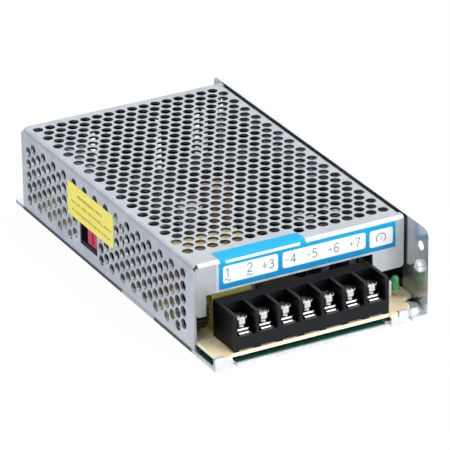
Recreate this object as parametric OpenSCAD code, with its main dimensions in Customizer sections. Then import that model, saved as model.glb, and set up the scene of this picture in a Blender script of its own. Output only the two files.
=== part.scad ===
// Enclosed switching power supply in a perforated sheet-metal case.
// Origin: middle of the underside of the case. -Y is the terminal end, +X the solid
// wall of the chassis, -X the perforated side of the cover, +Z up. Millimetres.

/* [Case] */
// Length of the chassis, terminal end to back
case_l = 178; // [172:1:200]
// Width over the cover and the chassis wall
case_w = 97; // [96:1:112]
// Height of the chassis wall
case_h = 38; // [37:1:45]
// Thickness of the chassis sheet
chassis_t = 1.5; // [1.2:0.1:2]
// Outside radius of the chassis bend
chassis_bend_r = 2.5; // [2.2:0.1:4]
// Thickness of the cover sheet
cover_t = 1; // [0.8:0.1:1.2]
// Outside radius of the cover's side bend
side_bend_r = 2.2; // [1.6:0.1:3]
// Outside radius of the cover's other bends
edge_bend_r = 1.5; // [1.4:0.1:2]
// Chassis left open in front of the cover
cover_setback = 17.3; // [16.5:0.1:20]
// Chassis left open behind the cover
cover_tail = 7.1; // [4:0.1:12]
// Gap between the cover and the chassis wall
cover_wall_gap = 0.9; // [0.5:0.1:1.5]

/* [Perforation] */
// Diameter of a vent hole
vent_d = 4.4; // [3:0.1:4.8]
// Distance between neighbouring vent holes
vent_pitch = 5.5; // [5.2:0.1:6]
// Rows of vent holes along the case
vent_rows = 30; // [10:2:30]
// Vent holes across the top in one row
vent_across = 16; // [6:1:16]
// Vent holes up the side in one column
vent_up = 5; // [2:1:5]
// Vent holes left out of the foremost row, under the label
vent_skipped = 8; // [0:1:12]

/* [Front flange] */
// Bottom of the two legs of the flange above the underside
leg_z = 15.4; // [13:0.1:18]
// Width of the left leg, with the side sheet
left_leg_w = 5.4; // [4:0.1:8]
// Width of the right leg
right_leg_w = 14.2; // [10:0.1:15]
// Height of the top of the cut-out above the underside
cutout_z = 24.2; // [22:0.1:25]

/* [Terminals] */
// Number of terminals
terminals = 7; // [7]
// Distance between terminals
terminal_pitch = 9.7; // [9.5:0.1:9.8]
// Thickness of a barrier between terminals
barrier_t = 1.4; // [1.2:0.1:1.8]
// Height of the barriers above the board
barrier_h = 15.8; // [15.6:0.1:16.4]
// Depth of the block, front to back
block_d = 17.2; // [16.8:0.1:17.4]
// Height of the moulded base under the contact plates
block_base_h = 5.9; // [5.5:0.1:6.5]
// Clamping screw, outside diameter of its thread
clamp_screw_d = 3.5; // [3:0.1:3.6]
// Diameter of the screw head
clamp_head_d = 6.2; // [5.6:0.1:6.4]
// Radial room round the screw in the plate and the clamp
screw_room = 0.35; // [0.3:0.05:0.4]

/* [Board] */
// Thickness of the board
board_t = 1.6; // [1.2:0.1:2]
// Height of the board above the chassis plate
board_gap = 2; // [1.8:0.1:3]
// Clearance between the board and the folded sheets
board_room = 0.3; // [0.2:0.1:1]

/* [Selector switch] */
// Length of the cut-out in the cover's side
switch_cut_l = 15.4; // [13:0.1:16]
// Height of the cut-out
switch_cut_h = 11; // [9:0.1:11.4]
// Distance the slider travels
slider_travel = 4.4; // [3:0.1:4.6]
// Clearance all round the slider in its slot
slider_room = 0.3; // [0.2:0.05:0.4]

/* [Label and sticker] */
// Thickness of the printed label and of the sticker
label_t = 0.2; // [0.1:0.05:0.3]
// Length of the sticker on the side
sticker_l = 41.3; // [30:0.1:44]
// Height of the sticker
sticker_h = 15; // [10:0.1:15.5]

/* [Hidden] */
$fn = 48;
eps = 0.01;

// Corners and planes of the case
left = -case_w / 2;
right = case_w / 2;
front = -case_l / 2;
back = case_l / 2;
wall_in = right - chassis_t;

// Cover, outside faces
cover_left = left + label_t;
cover_right = wall_in - cover_wall_gap;
cover_front = front + cover_setback;
cover_back = back - cover_tail;
cover_top = case_h - label_t;
cover_foot = chassis_t + 0.1;
cover_w = cover_right - cover_left;
cover_l = cover_back - cover_front;

// Vent holes, set on a triangular lattice
vent_row = vent_pitch * sqrt(3) / 2;
vent_field_l = (vent_rows - 1) * vent_row;
vent_back_y = cover_back - 6.6;
vent_left_x = cover_left + 4.8;
vent_top_z = cover_top - 6.3;

// Board
board_z = chassis_t + board_gap;
board_top = board_z + board_t;
board_left = cover_left + cover_t + board_room;
board_right = wall_in - board_room;
board_front = front + 1.8;
board_back = cover_back - cover_t - board_room - 1.1;
room_h = cover_top - cover_t - board_top;
board_screw_pos = [
    [board_left + 4.4, cover_front + 22],
    [board_right - 4.4, cover_front + 22],
    [board_left + 4.4, board_back - 5],
    [board_right - 4.4, board_back - 5],
    [0, board_back - 4.6]
];
board_screw_d = 3;
boss_h = board_gap;

// Front tabs of the chassis, and the fingers of the board that sit in their steps
tab_w = 7.8;
tab_step_w = 3.5;
tab_top = board_top + 0.5;
left_tab_x = left + 0.1;
right_tab_x = left + 78.95;
tab_relief = 1.8;

// Mounting holes
side_hole_d = 4;
side_hole_y = front + 5.5;
side_hole_z = case_h - 8.6;
wall_screw_z = case_h - 17.5;
foot_hole_d = 4;
foot_hole_x = 35;
foot_hole_y = 60;

// Terminal block
block_w = terminals * terminal_pitch + barrier_t;
block_left = left + 9.6;
block_front = front + 2;
block_back = block_front + block_d;
block_rear_t = 5.9;
floor_z = board_top + block_base_h;
plate_t = 1;
plate_w = 5;
plate_z = floor_z;
plate_top = plate_z + plate_t;
screw_y = block_front + 5.7;
clamp_w = 5.8;
clamp_l = 5.8;
clamp_t = 1.2;
clamp_z = plate_top + 0.05;
clamp_lift = 3;
head_h = 2.4;
neck_d = clamp_screw_d + 2 * screw_room + 0.4;
head_z = clamp_z + clamp_t + 1.9;
function terminal_x(i) = block_left + barrier_t / 2 + (i - 0.5) * terminal_pitch;

// Selector switch, behind the cut-out in the cover's side
switch_y = front + 109;
switch_z = 12.2;
switch_face = cover_left + 0.35;
slider_l = 9;
slider_h = 7.2;
slot_l = slider_l + slider_travel + 2 * slider_room;
slot_h = slider_h + 2 * slider_room;
slider_y = switch_y - slot_l / 2 + slider_room;

// Sticker
sticker_y = front + 86;
sticker_z = 16.3;

// Label
label_x0 = left + 11.4;
label_x1 = left + 90.7;
label_z0 = cutout_z + 1;
strip_x0 = label_x0 + 0.6;
strip_w = 38;
strip_d = 5.6;

// ---------- helpers ----------

// A 2D outline in x and z, drawn out along y
module along_y(y0, length) {
    translate([0, y0 + length, 0]) rotate([90, 0, 0]) linear_extrude(length) children();
}

// A 2D outline in y and z, drawn out along x
module along_x(x0, length) {
    translate([x0, 0, 0]) rotate([90, 0, 90]) linear_extrude(length) children();
}

// Rectangle with its lower right corner rounded
module hooked_square(w, h, r) {
    square([w - r, h]);
    translate([0, r]) square([w, h - r]);
    translate([w - r, r]) circle(r);
}

// Quarter of a ring, in the first quadrant
module bend_section(r, t) {
    intersection() {
        difference() {
            circle(r);
            circle(r - t);
        }
        square(r + 1);
    }
}

// Rectangle with four round corners, from its lower left corner
module round_square(w, h, r) {
    translate([r, 0]) square([w - 2 * r, h]);
    translate([0, r]) square([w, h - 2 * r]);
    for (x = [r, w - r], y = [r, h - r]) translate([x, y]) circle(r);
}

// Cross recess, cut down from z = 0
module cross_recess(d, depth) {
    for (a = [0, 90]) rotate([0, 0, a]) translate([-d / 2, -0.45, -depth]) cube([d, 0.9, depth + 1]);
}

// Pan head screw, underside of its head at z = 0, thread downwards
module pan_screw(d, length, head_d, head_h) {
    difference() {
        union() {
            cylinder(d = head_d, h = head_h * 0.45);
            translate([0, 0, head_h * 0.45 - eps]) cylinder(d1 = head_d, d2 = head_d * 0.62, h = head_h * 0.55);
            translate([0, 0, -length]) cylinder(d = d, h = length + eps);
        }
        translate([0, 0, head_h]) cross_recess(head_d * 0.55, head_h * 0.5);
    }
}

// Upright can of an electrolytic capacitor with its crimp groove and scored top
module can(d, h) {
    groove = d * 0.04;
    difference() {
        union() {
            cylinder(d = d, h = h - 0.6);
            cylinder(d = d - 1.2, h = h);
        }
        translate([0, 0, h * 0.12]) rotate_extrude() translate([d / 2, 0]) circle(groove, $fn = 24);
        for (a = [0, 90]) rotate([0, 0, a]) translate([-d * 0.3, -0.3, h - 0.4]) cube([d * 0.6, 0.6, 1]);
    }
}

// Ring core with its axis along z, rounded rectangle section
module ring_core(d_out, d_in, h) {
    r = 1;
    w = (d_out - d_in) / 2;
    rotate_extrude($fn = 64) translate([d_in / 2, -h / 2]) round_square(w, h, r);
}

// Turns of wire on a ring core between two angles: they lie side by side in its bore and fan out
// to the rim
module ring_winding(d_out, d_in, h, wire, turns, a0, a1) {
    step = (a1 - a0) / turns;
    rim = d_out / 2 + wire;
    rim_gap = 2 * rim * sin(step / 2) - wire;
    difference() {
        rotate([0, 0, a0]) rotate_extrude(angle = a1 - a0, $fn = 96) difference() {
            translate([d_in / 2 - wire, -h / 2 - wire])
                square([(d_out - d_in) / 2 + 2 * wire, h + 2 * wire]);
            translate([d_in / 2, -h / 2]) square([(d_out - d_in) / 2, h]);
        }
        for (i = [1:turns - 1]) rotate([0, 0, a0 + step * i])
            translate([0, 0, -h / 2 - wire - 1]) linear_extrude(h + 2 * wire + 2)
                polygon([[d_in / 2 + 0.1, 0], [rim + 1, -rim_gap / 2], [rim + 1, rim_gap / 2]]);
    }
}

// Flat transistor package standing on its legs, its metal back at y = 0
module power_package(w, h, t) {
    difference() {
        union() {
            translate([-w / 2, 0, 0]) cube([w, t, h * 0.62]);
            translate([-w / 2, 0, 0]) cube([w, t * 0.3, h]);
        }
        translate([0, -1, h * 0.82]) rotate([-90, 0, 0]) cylinder(d = 3.4, h = t + 2);
    }
    for (i = [-1:1]) translate([i * 2.54 - 0.4, t * 0.4, -3.6]) cube([0.8, 0.6, 3.6 + eps]);
}

// ---------- chassis ----------

// One of the two tabs bent up at the front edge, with the step that holds the board
module front_tab(step_on_right) {
    step_z = board_z - 0.05;
    intersection() {
        along_x(0, tab_w) difference() {
            translate([front, 0]) square([chassis_t + 1, tab_top]);
            translate([front, 0]) difference() {
                translate([-1, -1]) square([1 + chassis_t, 1 + chassis_t]);
                translate([chassis_t, chassis_t]) circle(chassis_t);
            }
            translate([front + chassis_t, chassis_t]) square([2, tab_top]);
        }
        translate([step_on_right ? 0 : tab_w, 0, 0]) mirror([step_on_right ? 0 : 1, 0, 0])
            along_y(front - 1, chassis_t + 3) {
                square([tab_w, step_z]);
                round_square(tab_w - tab_step_w, tab_top, 0.5);
            }
    }
}

module boss(p) {
    translate([p[0], p[1], chassis_t - eps]) cylinder(d1 = 9, d2 = 6.4, h = boss_h + eps);
}

module chassis() {
    color("gainsboro") difference() {
        union() {
            along_y(front, case_l) difference() {
                translate([left, 0]) hooked_square(case_w, case_h, chassis_bend_r);
                translate([left - 1, chassis_t])
                    hooked_square(case_w - chassis_t + 1, case_h, chassis_bend_r - chassis_t);
            }
            for (p = board_screw_pos) boss(p);
            // bare boss under the notch at the front right corner of the board
            translate([wall_in - 3.9, front + 6.6, chassis_t - eps]) cylinder(d1 = 8.4, d2 = 6.4, h = boss_h);
            translate([left_tab_x, 0, 0]) front_tab(true);
            translate([right_tab_x, 0, 0]) front_tab(false);
            // low tongues that keep the foot of the cover in line
            for (y = [front + 40, back - 45])
                translate([cover_left + cover_t + 0.1, y, 0]) cube([0.8, 9, board_z - 0.6]);
        }
        // rounded corners at the top of the wall
        along_x(wall_in - 1, chassis_t + 2) {
            translate([front + 3, case_h - 3]) difference() {
                translate([-4, 0]) square(4);
                circle(3);
            }
            translate([back - 3, case_h - 3]) difference() {
                square(4);
                circle(3);
            }
        }
        // relief slots beside the tabs
        for (x = [left_tab_x + tab_w, right_tab_x - tab_relief, right_tab_x + tab_w])
            translate([x, front - 1, -1]) cube([tab_relief, 3.4, chassis_t + 2]);
        // threaded holes for the board screws
        for (p = board_screw_pos) translate([p[0], p[1], -1]) cylinder(d = board_screw_d - 0.3, h = 10);
        // mounting holes in the plate
        for (x = [-foot_hole_x, foot_hole_x], y = [-foot_hole_y, foot_hole_y])
            translate([x, y, -1]) cylinder(d = foot_hole_d, h = 4);
        // mounting holes at the ends of the wall
        for (y = [side_hole_y, -side_hole_y])
            translate([wall_in - 1, y, side_hole_z]) rotate([0, 90, 0]) cylinder(d = side_hole_d, h = 4);
        // thread of the wall screw
        translate([wall_in - 1, side_hole_y, wall_screw_z]) rotate([0, 90, 0]) cylinder(d = 2.7, h = 4);
        // countersunk holes of the cover screws
        for (y = cover_screw_y) translate([wall_in, y, cover_screw_z]) rotate([0, 90, 0]) {
            translate([0, 0, -1]) cylinder(d = 3.2, h = 4);
            translate([0, 0, chassis_t - 1.3]) cylinder(d1 = 3.2, d2 = 5.8, h = 1.3 + eps);
        }
    }
}

// ---------- cover ----------

cover_screw_z = cover_top - 6;
cover_screw_y = [cover_front + 22, cover_back - 22];
flange_foot_z = cover_top - 10;
vent_drop = [0, vent_pitch / 2];

module top_sheet() {
    linear_extrude(cover_t) difference() {
        union() {
            translate([cover_left + side_bend_r, cover_front + edge_bend_r])
                square([cover_w - side_bend_r - edge_bend_r, cover_l - 2 * edge_bend_r]);
            for (y = [cover_front + edge_bend_r, cover_back - edge_bend_r - 2])
                translate([cover_right - edge_bend_r - 1, y]) square([edge_bend_r + 1, 2]);
        }
        for (row = [0:vent_rows - 1], i = [0:vent_across - 1])
            if (row < vent_rows - 1 || i >= vent_skipped)
                translate([vent_left_x + (i + (row % 2) / 2) * vent_pitch, vent_back_y - row * vent_row])
                    circle(d = vent_d, $fn = 24);
    }
}

// Clear of the selector switch's cut-out
function vent_is_open(y, z) =
    abs(y - switch_y) > switch_cut_l / 2 + vent_d / 2 + 1
    || z > switch_z + switch_cut_h / 2 + vent_d / 2 + 1.2;

module side_sheet() {
    along_x(cover_left, cover_t) difference() {
        translate([cover_front, cover_foot]) square([cover_l, cover_top - side_bend_r - cover_foot]);
        for (col = [0:vent_rows - 1], i = [0:vent_up - 1]) {
            y = vent_back_y - col * vent_row;
            z = vent_top_z - (i + ((col + 1) % 2) / 2) * vent_pitch;
            if (vent_is_open(y, z)) translate([y, z]) circle(d = vent_d, $fn = 24);
        }
        translate([switch_y - switch_cut_l / 2, switch_z - switch_cut_h / 2])
            square([switch_cut_l, switch_cut_h]);
    }
}

module front_sheet() {
    x0 = cover_left + cover_t + 0.1;
    w = cover_right - x0;
    cut_x = cover_left + left_leg_w;
    along_y(cover_front, cover_t) difference() {
        translate([x0, leg_z]) round_square(w, cover_top - leg_z, 1.5);
        translate([x0 - 1, cover_top - edge_bend_r]) square([w + 2, 5]);
        translate([cut_x, leg_z - 5]) square([cover_right - right_leg_w - cut_x, cutout_z - leg_z + 5]);
    }
}

module back_sheet() {
    x0 = cover_left + cover_t + 0.1;
    along_y(cover_back - cover_t, cover_t)
        translate([x0, cover_foot]) square([cover_right - x0, cover_top - edge_bend_r - cover_foot]);
}

module perforated_cover() {
    x0 = cover_left + cover_t + 0.1;
    color("silver") difference() {
        union() {
            translate([0, 0, cover_top - cover_t]) top_sheet();
            side_sheet();
            front_sheet();
            back_sheet();
            // side bend, with a relief slot at the front corner
            along_y(cover_front + 1.6, cover_l - 3.2)
                translate([cover_left + side_bend_r, cover_top - side_bend_r]) mirror([1, 0])
                    bend_section(side_bend_r, cover_t);
            // front and back bends
            along_x(x0 + 1.1, cover_right - x0 - 1.1) {
                translate([cover_front + edge_bend_r, cover_top - edge_bend_r]) mirror([1, 0])
                    bend_section(edge_bend_r, cover_t);
                translate([cover_back - edge_bend_r, cover_top - edge_bend_r])
                    bend_section(edge_bend_r, cover_t);
            }
            // right flange inside the chassis wall, with its bend
            along_y(cover_front + 4, cover_l - 8) {
                translate([cover_right - edge_bend_r, cover_top - edge_bend_r]) bend_section(edge_bend_r, cover_t);
                translate([cover_right - cover_t, flange_foot_z])
                    square([cover_t, cover_top - edge_bend_r - flange_foot_z]);
            }
        }
        for (y = cover_screw_y) translate([cover_right - cover_t - 1, y, cover_screw_z])
            rotate([0, 90, 0]) cylinder(d = 2.5, h = cover_t + 2);
    }
}

module cover_screws() {
    color("silver") for (y = cover_screw_y) translate([wall_in, y, cover_screw_z]) rotate([0, 90, 0]) {
        difference() {
            union() {
                translate([0, 0, chassis_t - 1.25]) cylinder(d1 = 2.9, d2 = 5.5, h = 1.25);
                translate([0, 0, -cover_wall_gap - cover_t - 1.2])
                    cylinder(d = 2.4, h = cover_wall_gap + cover_t + 1.2 + chassis_t - 0.6);
            }
            translate([0, 0, chassis_t]) cross_recess(3, 0.9);
        }
    }
}

module wall_screw() {
    color("whitesmoke") translate([wall_in, side_hole_y, wall_screw_z]) rotate([0, -90, 0])
        pan_screw(2.6, chassis_t, 5.4, 2.2);
}

// ---------- board and what fixes it ----------

module insulation_sheet() {
    color("darkslategray") difference() {
        translate([left + 0.5, front + 0.8, chassis_t]) cube([case_w - 4.8, board_back - front - 2.8, 0.3]);
        // clear of the foot of the cover and of the tongues beside it
        translate([left - 1, cover_front - 1, 0]) cube([cover_t + 3.2, case_l, 5]);
        // clear of the two tabs and of the bare boss
        translate([left_tab_x - 1, front - 1, 0]) cube([tab_w + tab_relief + 1.5, 5, 5]);
        translate([right_tab_x - tab_relief - 0.5, front - 1, 0]) cube([20, 5, 5]);
        translate([wall_in - 3.9, front + 6.6, 0]) cylinder(d = 9.4, h = 5);
        for (p = board_screw_pos) translate([p[0], p[1], 0]) cylinder(d = 9.6, h = 5);
        for (x = [-foot_hole_x, foot_hole_x], y = [-foot_hole_y, foot_hole_y])
            translate([x, y, 0]) cylinder(d = foot_hole_d + 1.5, h = 5);
    }
}

module circuit_board() {
    notch_x = left + 89.8;
    finger_y = front + 0.3;
    color("burlywood") difference() {
        translate([0, 0, board_z]) linear_extrude(board_t) difference() {
            union() {
                polygon([
                    [board_left, board_front],
                    [notch_x - 2.6, board_front],
                    [notch_x, front + 4.6],
                    [notch_x - 0.2, front + 9.6],
                    [board_right, front + 11.9],
                    [board_right, board_back],
                    [board_left, board_back]
                ]);
                translate([left_tab_x + tab_w - tab_step_w + 0.3, finger_y])
                    square([tab_step_w - 0.4, board_front - finger_y + 1]);
                translate([right_tab_x + 0.1, finger_y])
                    square([tab_step_w - 0.4, board_front - finger_y + 1]);
            }
        }
        for (p = board_screw_pos) translate([p[0], p[1], board_z - 1]) cylinder(d = board_screw_d + 0.4, h = 5);
    }
}

module board_screws() {
    color("silver") for (p = board_screw_pos) translate([p[0], p[1], board_top])
        pan_screw(board_screw_d - 0.4, board_top - 0.6, 5.6, 2.1);
}

// ---------- label and sticker ----------

module front_label() {
    color("deepskyblue") {
        along_y(cover_front - label_t, label_t)
            translate([label_x0, label_z0]) square([label_x1 - label_x0, cover_top - edge_bend_r - label_z0]);
        along_x(strip_x0, strip_w) {
            translate([cover_front + edge_bend_r, cover_top - edge_bend_r]) mirror([1, 0])
                bend_section(edge_bend_r + label_t, label_t);
            translate([cover_front + edge_bend_r, cover_top]) square([strip_d, label_t]);
        }
    }
}

module side_sticker() {
    color("gold") along_x(cover_left - label_t, label_t)
        translate([sticker_y, sticker_z]) round_square(sticker_l, sticker_h, 1.6);
}

// ---------- terminals ----------

module barrier(i) {
    x = block_left + i * terminal_pitch;
    top = board_top + barrier_h;
    along_x(x, barrier_t) polygon([
        [block_front, board_top],
        [block_front, top - 1],
        [block_front + 1.4, top],
        [block_back, top],
        [block_back, board_top]
    ]);
}

module terminal_block() {
    top = board_top + barrier_h;
    color("#26282d") difference() {
        union() {
            translate([block_left, block_front, board_top]) cube([block_w, block_d, block_base_h]);
            // lip in front of the contact plates
            translate([block_left, block_front, board_top]) cube([block_w, 0.9, block_base_h + 0.4]);
            // solid rear half
            translate([block_left, block_back - block_rear_t, board_top]) cube([block_w, block_rear_t, barrier_h]);
            for (i = [0:terminals]) barrier(i);
        }
        for (i = [1:terminals]) {
            // well for the end of the screw
            translate([terminal_x(i), screw_y, board_top + 0.8]) cylinder(d = clamp_screw_d + 1.2, h = block_base_h);
            // seat of the plate's tail
            translate([terminal_x(i) - plate_w / 2 - 0.1, block_back - block_rear_t - 1.2, board_top - 1])
                cube([plate_w + 0.2, 1.1, block_base_h + 2]);
        }
        // feet left along the front of the base
        for (i = [0:terminals - 1])
            translate([block_left + barrier_t + i * terminal_pitch + 0.6, block_front - 1, board_top - 1])
                cube([terminal_pitch - barrier_t - 1.2, 4, 1.8]);
    }
}

// Contact plate, bent down at the back into a tail that goes through the board
module contact_plate(x) {
    tail_y = block_back - block_rear_t - 1.15;
    difference() {
        union() {
            translate([x - plate_w / 2, block_front + 1, plate_z])
                cube([plate_w, tail_y + plate_t - block_front - 1, plate_t]);
            translate([x - plate_w / 2, tail_y, board_top]) cube([plate_w, plate_t, block_base_h + plate_t]);
        }
        translate([x, screw_y, plate_z - 1]) cylinder(d = clamp_screw_d + 2 * screw_room, h = plate_t + 2);
    }
}

module terminal_plates() {
    color("whitesmoke") for (i = [1:terminals]) contact_plate(terminal_x(i));
}

// Square clamp that comes up with its screw
module terminal_clamp(i) {
    color("white") translate([terminal_x(i), screw_y, clamp_z]) difference() {
        linear_extrude(clamp_t) translate([-clamp_w / 2, -clamp_l / 2]) round_square(clamp_w, clamp_l, 0.5);
        translate([0, 0, -1]) cylinder(d = clamp_screw_d + 2 * screw_room, h = clamp_t + 2);
    }
}

module terminal_screw(i) {
    color("whitesmoke") translate([terminal_x(i), screw_y, head_z]) difference() {
        union() {
            cylinder(d = clamp_head_d, h = head_h - 0.6);
            translate([0, 0, head_h - 0.6 - eps]) cylinder(d1 = clamp_head_d, d2 = clamp_head_d - 1.4, h = 0.6);
            // neck that rests on the clamp
            translate([0, 0, clamp_z + clamp_t + 0.05 - head_z])
                cylinder(d = neck_d, h = head_z - clamp_z - clamp_t - 0.05 + eps);
            translate([0, 0, board_top + 1.4 - head_z]) cylinder(d = clamp_screw_d, h = head_z - board_top - 1.4);
        }
        translate([0, 0, head_h]) cross_recess(3.8, 1.6);
        translate([-clamp_head_d / 2 - 1, -0.4, head_h - 1]) cube([clamp_head_d + 2, 0.8, 2]);
    }
}

// ---------- small parts by the terminals ----------

led_x = left + 89.7;
led_y = front + 15.5;
trimmer_w = 6.4;
trimmer_x = left + 85.5;
trimmer_y = front + 20.9;
trimmer_h = 5.4;

module output_led() {
    color("limegreen") translate([led_x, led_y, board_top]) {
        cylinder(d = 3.6, h = 1.9);
        translate([0, 0, 1.9 - eps]) cylinder(d = 4, h = 1);
        translate([0, 0, 2.9 - 2 * eps]) cylinder(d = 3.2, h = 3.8);
        translate([0, 0, 6.7 - 3 * eps]) intersection() {
            sphere(d = 3.2);
            cylinder(d = 4, h = 2);
        }
    }
}

module trimmer_body() {
    color("white") translate([trimmer_x, trimmer_y, board_top]) difference() {
        translate([-trimmer_w / 2, -trimmer_w / 2, 0]) cube([trimmer_w, trimmer_w, trimmer_h]);
        translate([0, 0, trimmer_h - 2]) cylinder(d = 4.2, h = 3);
    }
}

module trimmer_rotor() {
    color("goldenrod") translate([trimmer_x, trimmer_y, board_top + trimmer_h - 1.95]) difference() {
        cylinder(d = 3.6, h = 2.4);
        translate([-2.5, -0.35, 1.5]) cube([5, 0.7, 2]);
        translate([-0.35, 0, 1.5]) cube([0.7, 2.5, 2]);
    }
}

// ---------- selector switch ----------

module selector_body() {
    bezel_l = switch_cut_l - 0.5;
    bezel_h = switch_cut_h - 0.5;
    body_l = switch_cut_l + 5;
    body_h = 13;
    body_x = cover_left + cover_t + 0.05;
    color("#202124") difference() {
        union() {
            translate([body_x, switch_y - body_l / 2, switch_z - body_h / 2]) cube([7.5, body_l, body_h]);
            translate([switch_face, switch_y - bezel_l / 2, switch_z - bezel_h / 2]) cube([1.6, bezel_l, bezel_h]);
        }
        translate([switch_face - 1, switch_y - slot_l / 2, switch_z - slot_h / 2]) cube([4.6, slot_l, slot_h]);
    }
}

module selector_slider() {
    color("crimson") translate([switch_face + 0.5, slider_y, switch_z - slider_h / 2]) difference() {
        cube([2.8, slider_l, slider_h]);
        // screwdriver groove
        translate([-1, slider_l / 2 - 0.6, 1]) cube([2, 1.2, slider_h - 2]);
    }
}

// ---------- input side ----------

module input_fuse() {
    color("tan") translate([left + 46, front + 26, board_top]) {
        translate([-10, 0, 4]) rotate([0, 90, 0]) cylinder(d = 5.2, h = 20);
        for (x = [-10.4, 4.6]) translate([x, 0, 4]) rotate([0, 90, 0]) cylinder(d = 5.8, h = 5.8);
        for (x = [-8.5, 7.5]) translate([x, -1, 0]) cube([1, 2, 3]);
    }
}

module inrush_thermistor() {
    color("darkolivegreen") translate([left + 46, front + 36.5, board_top]) {
        translate([0, 2.5, 8]) rotate([90, 0, 0]) cylinder(d = 13, h = 5);
        for (x = [-3.8, 3.8]) translate([x - 0.4, -0.4, 0]) cube([0.8, 0.8, 4]);
    }
}

module surge_varistor() {
    color("steelblue") translate([left + 46, front + 46, board_top]) {
        translate([0, 2, 8]) rotate([90, 0, 0]) cylinder(d = 10, h = 4);
        for (x = [-2.5, 2.5]) translate([x - 0.4, -0.4, 0]) cube([0.8, 0.8, 5]);
    }
}

module line_capacitor() {
    color("olive") translate([left + 10.8, cover_front + 5, board_top]) {
        translate([0, 0, 0.6]) cube([17.6, 10, 14.8]);
        for (x = [1, 14.6]) translate([x, 1, 0]) cube([2, 8, 0.7]);
    }
}

coil_x = left + 5.5;
coil_y = cover_front + 12;
coil_z = board_top + 10;

module input_coil_core() {
    color("#2b2b2b") translate([coil_x, coil_y, coil_z]) rotate([0, 90, 0]) ring_core(18, 10, 3);
}

module input_coil_winding() {
    color("peru") translate([coil_x, coil_y, coil_z]) rotate([0, -90, 0])
        ring_winding(18, 10, 3, 1, 24, 20, 340);
}

choke_x = left + 24;
choke_y = front + 50;

module filter_choke_core() {
    color("#303030") translate([choke_x, choke_y, board_top + 2]) difference() {
        translate([-14, -5, 0]) cube([28, 10, 24]);
        translate([-8, -6, 6]) cube([16, 12, 12]);
    }
}

module filter_choke_winding() {
    color("darkgoldenrod") translate([choke_x, choke_y, board_top]) {
        for (x = [-11, 11]) difference() {
            translate([x - 5, -8, 8.1]) cube([10, 16, 11.8]);
            translate([x - 3.05, -5.05, 7]) cube([6.1, 10.1, 14]);
        }
        for (x = [-12, 12]) translate([x - 1, -7.5, 0]) cube([2, 2, 8.2]);
    }
}

module bridge_rectifier() {
    color("#1f1f1f") translate([left + 24, front + 64.5, board_top]) {
        difference() {
            translate([-11, -1.8, 4]) cube([22, 3.6, 18]);
            translate([0, -3, 13]) rotate([-90, 0, 0]) cylinder(d = 3.6, h = 6);
        }
        for (i = [-1.5:1:1.5]) translate([i * 5 - 0.6, -0.4, 0]) cube([1.2, 0.8, 4.1]);
    }
}

module bulk_capacitor(n) {
    color("#2a2d33") translate([left + 25, front + 56 + n * 23.5, board_top]) can(22, room_h - 2.7);
}

// ---------- power stage ----------

module heatsink(length, h, fins) {
    base = 2;
    fin = 7;
    translate([0, -length / 2, 0]) cube([base, length, h]);
    for (i = [0:fins - 1])
        translate([base - eps, -length / 2 + i * (length - 1.2) / (fins - 1), 2]) cube([fin, 1.2, h - 2]);
}

primary_sink_x = left + 12;
primary_sink_y = (front + 115 + board_back) / 2;

module primary_heatsink() {
    color("lightgray") translate([primary_sink_x, primary_sink_y, board_top]) heatsink(34, room_h - 4.7, 6);
}

module switching_transistor(n) {
    color("#222222") translate([primary_sink_x, primary_sink_y + (n * 2 - 3) * 8.5, board_top + 3.6])
        rotate([0, 0, 90]) power_package(10.2, 16, 4.4);
}

// midway between the bulk capacitors and the output rectifiers
transformer_x = (left + 36 + wall_in - 12.3) / 2;
transformer_h = room_h - 4.7;
transformer_y = front + 108;

module transformer_core() {
    color("#33312f") translate([transformer_x, transformer_y, board_top + 3]) difference() {
        translate([-17, -7, 0]) cube([34, 14, transformer_h]);
        translate([-12.5, -8, 5.5]) cube([25, 16, transformer_h - 11]);
    }
}

module transformer_winding() {
    color("khaki") translate([transformer_x, transformer_y, board_top]) {
        difference() {
            translate([-12.4, -16, 8.6]) cube([24.8, 32, transformer_h - 11.2]);
            translate([-20, -7.05, 2]) cube([7.7, 14.1, 30]);
        }
        translate([-13.5, -17, 0]) cube([27, 8, 3]);
        translate([-13.5, 9, 0]) cube([27, 8, 3]);
        for (y = [-16.5, 10.5]) translate([-12, y, 2.9]) cube([24, 6, 5.8]);
    }
}

module safety_capacitor(n) {
    color("royalblue") translate([left + 44 + n * 12, front + 88, board_top]) {
        translate([0, 1.5, 6]) rotate([90, 0, 0]) cylinder(d = 8, h = 3);
        for (x = [-2.2, 2.2]) translate([x - 0.3, -0.3, 0]) cube([0.6, 0.6, 4]);
    }
}

module controller_chip() {
    color("#1b1b1b") translate([left + 56, board_back - 20.5, board_top]) {
        translate([-9.5, -3.2, 0.6]) cube([19, 6.4, 3.4]);
        for (s = [-1, 1], i = [0:7]) translate([-9 + i * 2.5, s * 3.6 - 0.3, 0]) cube([0.6, 0.6, 2.2]);
    }
}

module optocoupler() {
    color("whitesmoke") translate([left + 73, board_back - 20.5, board_top]) {
        translate([-2.4, -3.2, 0.6]) cube([4.8, 6.4, 3.4]);
        for (s = [-1, 1], i = [-1, 1]) translate([i * 1.27 - 0.3, s * 3.6 - 0.3, 0]) cube([0.6, 0.6, 2.2]);
    }
}

// ---------- output side ----------

secondary_sink_x = wall_in - 7.5;
secondary_sink_y = front + 104;

module secondary_heatsink() {
    color("lightgray") translate([secondary_sink_x, secondary_sink_y, board_top]) mirror([1, 0, 0]) translate([-2, 0, 0]) {
        translate([0, -22, 0]) cube([2, 44, room_h - 6.7]);
        translate([-3, -22, room_h - 8.7]) cube([3 + eps, 44, 2]);
    }
}

module output_rectifier(n) {
    color("#222222") translate([secondary_sink_x, secondary_sink_y + (n * 2 - 3) * 10, board_top + 3.6])
        rotate([0, 0, 90]) power_package(15.4, 17, 4.8);
}

output_coil_x = wall_in - 27.5;
output_coil_y = front + 71;
output_coil_z = board_top + 6.8;

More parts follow.
